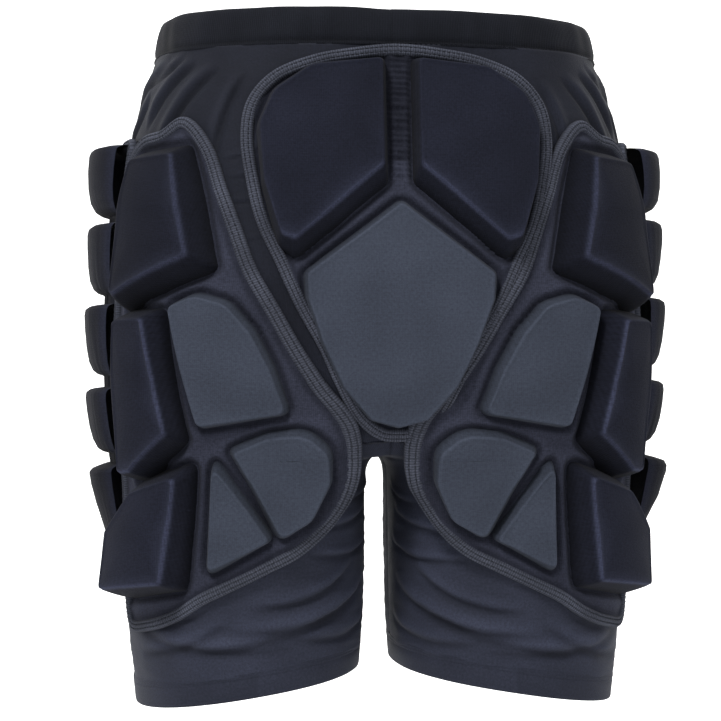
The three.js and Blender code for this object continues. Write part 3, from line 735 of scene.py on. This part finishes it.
SEAT_BASE = [(7.5, 411), (53, 407), (77, 391), (87, 367), (84, 330), (75, 292), (64, 284), (7.5, 331)]
SEAT_FACE = [(11, 407), (52, 402), (73, 386), (81.5, 365), (79.5, 332), (71, 299), (63, 297), (11, 341)]
SEAT_CORNERS = (3, 15, 17, 17, 18, 5, 4, 5)
TAILBONE_BASE = mirrored([(0, 323), (60, 278), (59, 262), (50, 236), (36, 208), (18, 188), (0, 183)])
TAILBONE_FACE = mirrored([(0, 319), (56.5, 277), (56, 262), (47, 237), (34, 210), (17, 191), (0, 186.5)])
SIDE_PADS = {
    "hip": ([(42, 358), (31, 324), (19.5, 278), (84, 251), (84, 306), (84, 355)],
            [(48, 349), (40, 320), (31, 285), (76, 263), (76, 306), (76, 347)], 18, 3, "dark"),
    "side": ([(48, 257), (40, 213), (33.5, 174), (60, 149), (79, 147), (79, 256)],
             [(51.5, 250), (43.5, 215), (39, 182), (62, 158.5), (71, 157), (71.5, 249)], 18, 3, "dark"),
    "lower": ([(28.5, 163), (32, 122), (38.5, 80), (97, 70), (94, 118), (64, 152)],
              [(35.5, 156), (40, 120), (44, 88), (88, 80), (86, 116), (62, 144)], 18, 3, "dark"),
    "rear": ([(46, 259), (30, 266.5), (12.5, 261), (-1.5, 243.5), (-12.5, 221), (-23, 191.5), (28.5, 181.5)],
             [(43.5, 256.5), (29.6, 263), (14, 258), (1.5, 241.5), (-9, 220), (-18.5, 194.5), (26.5, 185)],
             6, (4, 10, 13, 13, 12, 4, 4), "light"),
    "crescent": ([(12.5, 170), (-10.5, 182), (-29.5, 184.5), (-43, 170.5), (-43.5, 150), (-35.5, 125),
                  (-18, 110.5)],
                 [(8, 169), (-10.5, 178.5), (-28.5, 181), (-39.5, 168.5), (-40, 150), (-32.5, 127.5),
                  (-18, 115)], 6, (3, 14, 14, 14, 14, 14, 4), "light"),
    "corner": ([(20.5, 170), (-16.5, 113.5), (27, 88)],
               [(19.5, 161), (-11, 113), (23.5, 94)], 6, 3, "light"),
}


def ridge_highlight(ridge, pad):
    """A painted highlight along a pad's ridge: how much paler the cloth is made there, most on its lower and
    inner edges.
    """
    ahead = np.roll(ridge, -2, 0) - np.roll(ridge, 2, 0)
    ahead /= np.linalg.norm(ahead, axis=1, keepdims=True)
    out = np.stack([ahead[:, 1], -ahead[:, 0]], 1)
    out *= np.sign((out * (ridge - pad.centre)).sum(1, keepdims=True) + 1e-9)
    inner = -out[:, 0] if pad.name != "seat" else 0 * out[:, 0]
    tone_change = np.clip(np.maximum(-out[:, 1], 0.85 * inner), 0, 1)
    tone_change = sum(np.roll(tone_change, k) for k in range(-4, 5)) / 9
    return (0.15 + 2.3 * tone_change) if pad.dark else 0.12 * np.ones(len(ridge))


def pad_piece(place, pad, end):
    """A fillet at the sheet, a wall, and a low lip round a top that is crowned on the dark pads."""
    base, ridge, centre = pad.base, pad.ridge, pad.centre
    floor = SHEET_TOP - PAD_SUNK
    rise = pad.height + SHEET_TOP + 1.3 - floor
    shares = np.concatenate([np.linspace(0, 0.86, 12), [0.92, 0.965, 0.99, 1.0]])
    insets = np.concatenate([[0.5, 1.1, 1.8, 2.7, 4.0], np.linspace(5.5, 60, 30)])
    reach = np.linalg.norm(ridge - centre, axis=1)
    highlight = ridge_highlight(ridge, pad)
    outline, lift, tone = [], [], []
    for share in shares:
        wall = share + 0.05 * math.sin(math.pi * share) - 0.06 * bump(share, 0.12)
        outline.append(base + (ridge - base) * share)
        lift.append(np.full(len(base), floor + rise * (wall - 0.03 * bump(share - 1, 0.05))))
        # Painted shade at the foot of the wall, and a painted highlight along the ridge.
        tone.append(0.38 + 0.4 * min(share / 0.5, 1) + (0.22 + highlight) * bump(share - 1, 0.1))
    for inset in insets:
        part = np.minimum(inset / insets[-1], 0.985) if inset > 5 else np.minimum(inset / reach, 0.2)
        if inset > 5:
            part = np.maximum(part, np.minimum(5 / reach, 0.25) + 0.01 * inset / 60)
        outline.append(ridge + (centre - ridge) * np.reshape(part * np.ones(len(ridge)), (-1, 1)))
        depth = np.minimum(inset, part * reach)
        lip = PAD_LIP * (bump(depth - 1.0, 1.4) - 0.35 * np.clip(depth / 4, 0, 1))
        lift.append(floor + rise + lip + PAD_CROWN * (1 - (1 - part) ** 2) * pad.dark)
        # A painted highlight on the top just inside the ridge.
        tone.append(1 + highlight * bump(depth, 1.3) + 0.2 * highlight * bump(depth - 2, 5))
    outline = np.array(outline)
    lift = np.array(lift) + 0.22 * wander(outline[..., 0], outline[..., 1], 30, 7)
    share_up = np.clip((lift - floor) / rise, 0, 1)
    low, top = outline[..., 1].min(), outline[..., 1].max()
    lift = lift + pad.flare * np.clip(1 - (outline[..., 1] - low) / 60, 0, 1) * share_up
    lift = lift - pad.droop * np.clip(1 - (top - outline[..., 1]) / 42, 0, 1) ** 1.3 * share_up
    tone = np.array(tone) * pad.lightness * (1 + 0.06 * wander(outline[..., 0], outline[..., 1], 24, 9))
    points = place(outline[..., 0], outline[..., 1], lift)
    middle = place(centre[0], centre[1], lift[-1].mean())
    material, slot = (DARK, "dark_cover") if pad.dark else (LIGHT, "light_cover")
    piece = ring_object(f"{pad.name}_pad{end}", points, middle, outline, centre, material, tone)
    face_outwards(piece, tuple(middle * (0.6, 0.6, 1)))
    keep(piece, slot, f"{pad.name}_pad_cover{end}", f"{pad.name}_pad_foam{end}")
    return piece


def sheet_piece(name, place, edge, centre, pads, pucker, node, count):
    """A panel's laminated sheet: pressed down round its pads and puckered towards its tape."""
    rim = smooth_loop(grown(edge, -0.5), 2.2)
    shares = np.linspace(1, 0.03, count)[:, None, None]
    flat = centre + (rim[None] - centre) * shares
    x, z = flat[..., 0], flat[..., 1]
    lift = np.full(x.shape, SHEET_TOP) + 0.4 * wander(x, z, 26, 31) + 0.2 * wander(x, z, 9, 32)
    lift += pucker(x, z)
    # Painted shade: the sheet is darker in the grooves round its pads, beside its tape, and down the channel
    # between the seat pads.
    tone = np.ones(x.shape)
    for pad in pads:
        away = distance_to(pad.base[::3], x, z)
        lift += 1.1 * bump(away - 4.5, 2.4) - 1.7 * bump(away - 0.3, 1.6)
        lift = np.where(away < -1.5, SHEET_TOP - 2.2, lift)
        tone *= 1 - 0.42 * bump(away - 0.4, 2.2)
    to_tape = -distance_to(rim[::2], x, z)
    tone *= 1 - 0.35 * bump(to_tape - 4.5, 1.8)
    tone *= 1.16 - 0.62 * bump(x - centre[0], 8) * (z > 345) * (node == "tailbone_sheet")
    lift = np.clip(lift, 2.4, 7.8)
    points = place(x, z, lift)
    middle = place(centre[0], centre[1], SHEET_TOP - 1)
    piece = ring_object(name, points, middle, flat, np.asarray(centre, float), SHEET, tone)
    face_outwards(piece, tuple(middle * (0.5, 0.3, 1)))
    keep(piece, "laminate", node)
    return piece


def tape_piece(name, place, edge, node):
    """The binding tape: a rounded band folded over the panel's edge, pulled in at each stitch."""
    line = smooth_loop(edge, TAPE_STEP)
    ahead = np.roll(line, -1, 0) - np.roll(line, 1, 0)
    ahead /= np.linalg.norm(ahead, axis=1, keepdims=True)
    out = np.stack([ahead[:, 1], -ahead[:, 0]], 1)
    half = TAPE_WIDTH / 2 + 0.3
    profile = [(-half, 2.6), (-half - 0.1, 4.4), (-half + 0.4, 6.0), (-half + 1.2, 6.9), (-2.0, 7.1),
               (-1.4, 6.6), (-0.8, 7.2), (0, 7.3), (0.8, 7.2), (1.4, 6.6), (2.0, 7.1), (half - 1.2, 6.9),
               (half - 0.4, 6.0), (half + 0.1, 4.4), (half, 2.6)]
    offset, lift = (np.array(v, float) for v in zip(*profile))
    along = np.arange(len(line)) * TAPE_STEP
    from_stitches = np.abs(np.abs(offset) - STITCH_ROW)
    pull = 0.16 * np.cos(along * 2 * math.pi / STITCH_PITCH)[:, None] * (from_stitches < 0.9)
    drift = 0.3 * wander(along, 0, 40, 51)[:, None]
    spot = line[:, None, :] + out[:, None, :] * (offset[None, :, None] + drift[..., None] * 0.6)
    height = lift[None] + pull + drift * 0.5
    points = place(spot[..., 0], spot[..., 1], height)
    uv = np.stack([along[:, None] + 0 * offset, offset[None] + 0 * along[:, None]], -1)
    faces = grid_faces(len(line), len(profile), closed_rows=True, closed_columns=True)
    tone_change = 1 + 0.14 * wander(along, 0, 18, 52)[:, None]
    # Painted light and shade: the tape is paler on its raised top than down its sides; it is also darker
    # along its rows of stitches.
    tone = tone_change * (0.55 + 0.5 * np.clip((lift - 4) / 2.4, 0, 1) - 0.25 * (from_stitches < 0.2))
    piece = make_object(name, points, faces, uv, TAPE, tone)
    face_outwards(piece, tuple(points.reshape(-1, 3).mean(0) * (0.6, 0.3, 1)))
    keep(piece, "binding_tape", node)
    for k, row in enumerate((-STITCH_ROW, STITCH_ROW)):
        at = line + out * row
        path = place(at[:, 0], at[:, 1], 6.8 + drift[:, 0] * 0.5)
        under = place(at[:, 0], at[:, 1], 0.0)
        up = path - under
        up /= np.linalg.norm(up, axis=1, keepdims=True)
        stitch_run(f"{name}_stitches_{k + 1}", np.vstack([path, path[:1]]), np.vstack([up, up[:1]]),
                   STITCH_PITCH, 2.2, 0.33, THREAD)
    return piece


def seat_pucker(x, z):
    """Fine level creases down the channel between the seat pads."""
    channel = bump(x, 6.5) * np.clip((z - 322) / 12, 0, 1)
    creases = np.sin(z * 2 * math.pi / 3.9 + 1.6 * np.sin(z / 7) + 0.5 * np.sin(z / 2.7) + 0.12 * x)
    return channel * (0.55 * creases + 0.8 * wander(x * 0.5, z * 1.6, 7, 41))


def side_pucker(x, z):
    """Short creases across the sheet where it turns in under its tape."""
    rows = np.sin((x * 0.55 + z) * 2 * math.pi / 4.8 + 1.1 * np.sin(z / 7))
    upper = bump(np.hypot((x + 2) / 16, (z - 258) / 34), 1)
    lower = bump(np.hypot((x + 54) / 12, (z - 158) / 26), 1)
    return 1.0 * rows * np.clip(upper + lower, 0, 1)


seat_pads = [Pad("seat", flip(SEAT_BASE, side), flip(SEAT_FACE, side), 13, SEAT_CORNERS, "dark")
             for side, _ in SIDES]
tailbone_pad = Pad("tailbone", TAILBONE_BASE, TAILBONE_FACE, 6, 4, "light")
sheet_piece("tailbone_sheet_cloth", on_seat, mirrored(TAILBONE_EDGE), (0, 310), [*seat_pads, tailbone_pad],
            seat_pucker, "tailbone_sheet", 120)
tape_piece("tailbone_tape", on_seat, mirrored(TAILBONE_EDGE), "tailbone_binding")
for (side, end), pad in zip(SIDES, seat_pads):
    pad_piece(on_seat, pad, end)
pad_piece(on_seat, tailbone_pad, "")

for side, end in SIDES:
    place = on_leg(side, LEG_MOVED[side], True)
    pads = []
    for name, (base, face, height, corner, tone) in SIDE_PADS.items():
        flare = (7.0 if side < 0 else 3.0) if name == "lower" else 0.0
        droop = 8.0 if name == "hip" else 0.0
        pads.append(Pad(name, base, face, height, corner, tone, flare, droop))
    sheet_piece(f"side_sheet_cloth{end}", place, SIDE_EDGE, (42, 200), pads, side_pucker,
                f"side_sheet{end}", 130)
    tape_piece(f"side_tape{end}", place, SIDE_EDGE, f"side_binding{end}")
    for pad in pads:
        pad_piece(place, pad, end)

# ---- Thigh panels ------------------------------------------------------------------------------

THIGH_REAR, THIGH_FRONT = 97.0, 209.5
RIB_TOPS = (361.0, 312.0, 260.0, 207.0, 158.5)
RIB_FLOORS = (317.0, 266.0, 214.0, 165.0, 97.0)
RIGHT_RIBS_UP = 5.0
RIGHT_RIBS_PROUD, LAST_RIGHT_RIB_PROUD = 3.0, 8.0
LAST_RIB_BELOW = 168.0
RIB_TONE = 0.55
RIB_FULLNESS = (1.38, 1.06, 1.0, 1.0, 1.16)
RIB_HEIGHT, RIB_NOTCH = 18.6, 5.5
COVER_TOP, COVER_FLOOR = 362.0, 94.0
THIGH_EDGE = [(THIGH_REAR + 3.5, 362), (THIGH_FRONT - 3.5, 362), (THIGH_FRONT - 3.5, 93.5),
              (THIGH_REAR + 3.5, 93.5)]

# Share of a rib's length from its floor, share of its full swell: it is fullest near its top.
RIB_PROFILE = [(0, 0), (0.03, 0.32), (0.08, 0.54), (0.2, 0.74), (0.4, 0.88), (0.65, 0.97), (0.85, 1.0),
               (0.93, 0.95), (0.975, 0.74), (0.995, 0.38), (1, 0.0)]
LAST_RIB_PROFILE = [(0, 0), (0.05, 0.12), (0.3, 0.46), (0.55, 0.8), (0.75, 1.0), (0.88, 1.05), (0.94, 1.02),
                    (0.975, 0.86), (0.995, 0.42), (1, 0.0)]


def rib_swell(height):
    """How far the ribs stand at each height, as a share of a full rib."""
    swell = np.zeros(height.shape)
    for k, (top, floor) in enumerate(zip(RIB_TOPS, RIB_FLOORS)):
        at, value = zip(*(LAST_RIB_PROFILE if k == len(RIB_TOPS) - 1 else RIB_PROFILE))
        share = (height - floor) / (top - floor)
        swell = np.where((share >= 0) & (share <= 1), RIB_FULLNESS[k] * np.interp(share, at, value), swell)
    return swell


def thigh_cover(side, end):
    """The ribbed cover: cloth drawn over foam ribs, and gathered where it turns in between them."""
    rows, columns = 620, 110
    height = np.linspace(COVER_FLOOR, COVER_TOP, rows)[:, None]
    round_ = np.linspace(THIGH_REAR + 4, THIGH_FRONT - 4, columns)[None, :]
    t = (round_ - round_[0, 0]) / (round_[0, -1] - round_[0, 0])
    ends = np.clip(np.sin(math.pi * np.clip(0.03 + 0.94 * t, 0, 1)), 0, 1) ** 0.32
    raised = RIGHT_RIBS_UP * np.clip((350 - height) / 50, 0, 1) if side > 0 else 0.0
    swell = rib_swell(height - raised)
    soft = wander(round_, height, 26, 61 + side)
    gather = wander(round_ * 2.6, height * 0.35, 8, 64 + side) * (1 - swell * 0.75)
    sealed = np.clip(np.minimum(height - COVER_FLOOR, COVER_TOP - height) / 5, 0, 1)
    rise = (RIB_NOTCH * sealed + (RIB_HEIGHT - RIB_NOTCH + 0.6 * soft) * swell) * ends + 0.45 * gather
    proud = 0.0
    if side > 0:
        proud = np.where(height < LAST_RIB_BELOW, LAST_RIGHT_RIB_PROUD, RIGHT_RIBS_PROUD)
    lift = SHEET_TOP - 0.8 + rise + proud * np.minimum(ends, swell)
    points = on_leg(side, LEG_MOVED[side])(round_ + 0 * height, height + 0 * round_, lift)
    uv = np.stack([round_ + 0 * height, height + 0 * round_], -1)
    # Painted shade in the notches between the ribs and in the dips of the gathers, and painted light on the
    # raised gathers.
    tone = RIB_TONE * (0.75 + 0.25 * np.clip(swell / 0.6, 0, 1)) * (1 + 0.16 * gather)
    # Painted light at the rear end of the cover, where it turns into shadow.
    tone *= 1 + 1.6 * bump(t, 0.05)
    piece = make_object(f"thigh_ribs{end}", points, grid_faces(rows, columns), uv, DARK, tone)
    face_outwards(piece, (side * 0.08, 0, -0.2))
    foams = [f"thigh_rib_foam_{k}{end}" for k in range(1, len(RIB_TOPS) + 1)]
    keep(piece, "dark_cover", f"thigh_cover{end}", *foams)
    tape_piece(f"thigh_tape{end}", on_leg(side, LEG_MOVED[side]), rounded(THIGH_EDGE, 6, 8),
               f"thigh_binding{end}")


for side, end in SIDES:
    thigh_cover(side, end)

# ---- Ground, light and camera -------------------------------------------------------------------


def floor_material():
    """Pale, with a glow that starts 0.3 m beyond the shorts and is full at 1 m."""
    n = Nodes("pale_floor")
    place = n.add("ShaderNodeNewGeometry").outputs["Position"]
    behind = n.add("ShaderNodeSeparateXYZ", {0: place}).outputs["Y"]
    n.link(n.spread(behind, 0.3, 1.0, 0.0, 1.0), n.shader.inputs["Emission Strength"])
    n.shader.inputs["Emission Color"].default_value = (1.0, 1.0, 1.0, 1.0)
    grain = n.add("ShaderNodeTexNoise", {"Scale": 60.0, "Detail": 3.0}).outputs["Fac"]
    n.link(n.spread(grain, 0.3, 0.7, 0.82, 0.92), n.shader.inputs["Roughness"])
    n.shader.inputs["Base Color"].default_value = (0.8, 0.8, 0.8, 1.0)
    return n.material


def backdrop():
    """A pale floor that curves up into a pale wall."""
    floor_z, width, front, back, bend, tall = -0.62, 8.0, -4.0, 2.2, 0.9, 4.0
    profile = [(front, floor_z), (back - bend, floor_z)]
    profile += [(back - bend + bend * math.sin(a), floor_z + bend * (1 - math.cos(a)))
                for a in np.linspace(0.1, math.pi / 2, 14)]
    profile.append((back, tall))
    points = np.array([[(x, y, z) for x in (-width, width)] for y, z in profile], float)
    piece = make_object("floor", points, grid_faces(len(profile), 2), np.zeros((len(profile), 2, 2)),
                        floor_material())


def area_light(name, place, target, size, power):
    data = bpy.data.lights.new(name, "AREA")
    data.shape = "RECTANGLE"
    data.size, data.size_y = size
    data.energy = power
    lamp = bpy.data.objects.new(name, data)
    lamp.location = place
    lamp.rotation_euler = (Vector(target) - Vector(place)).to_track_quat("-Z", "Y").to_euler()
    bpy.context.scene.collection.objects.link(lamp)


def studio():
    """A key light from the upper left behind the wearer, with weak fill."""
    middle = (0, 0, -0.2)
    area_light("key", (-0.8, -1.35, 1.3), middle, (0.4, 0.4), 24)
    area_light("fill", (1.3, -1.6, 0.1), middle, (1.0, 1.2), 3)
    area_light("top", (0.1, -0.5, 1.8), middle, (1.0, 0.5), 8)
    world = bpy.data.worlds.new("studio")
    world.use_nodes = True
    world.node_tree.nodes["Background"].inputs[0].default_value = (1, 1, 1, 1)
    world.node_tree.nodes["Background"].inputs[1].default_value = 0.4
    bpy.context.scene.world = world
    bpy.context.scene.view_settings.view_transform = "Standard"


def camera():
    """Behind the wearer and a little to the left, level with the middle of the shorts."""
    turn, distance = math.radians(-6), 1.45
    aim = Vector((-0.009, 0.0, -0.216))
    back = Vector((math.sin(turn), -math.cos(turn), 0))
    data = bpy.data.cameras.new("camera")
    data.sensor_width = 36
    data.lens = 108.6
    viewer = bpy.data.objects.new("camera", data)
    viewer.location = aim + back * distance
    viewer.rotation_euler = (-back).to_track_quat("-Z", "Y").to_euler()
    bpy.context.scene.collection.objects.link(viewer)
    bpy.context.scene.camera = viewer


backdrop()
studio()
camera()
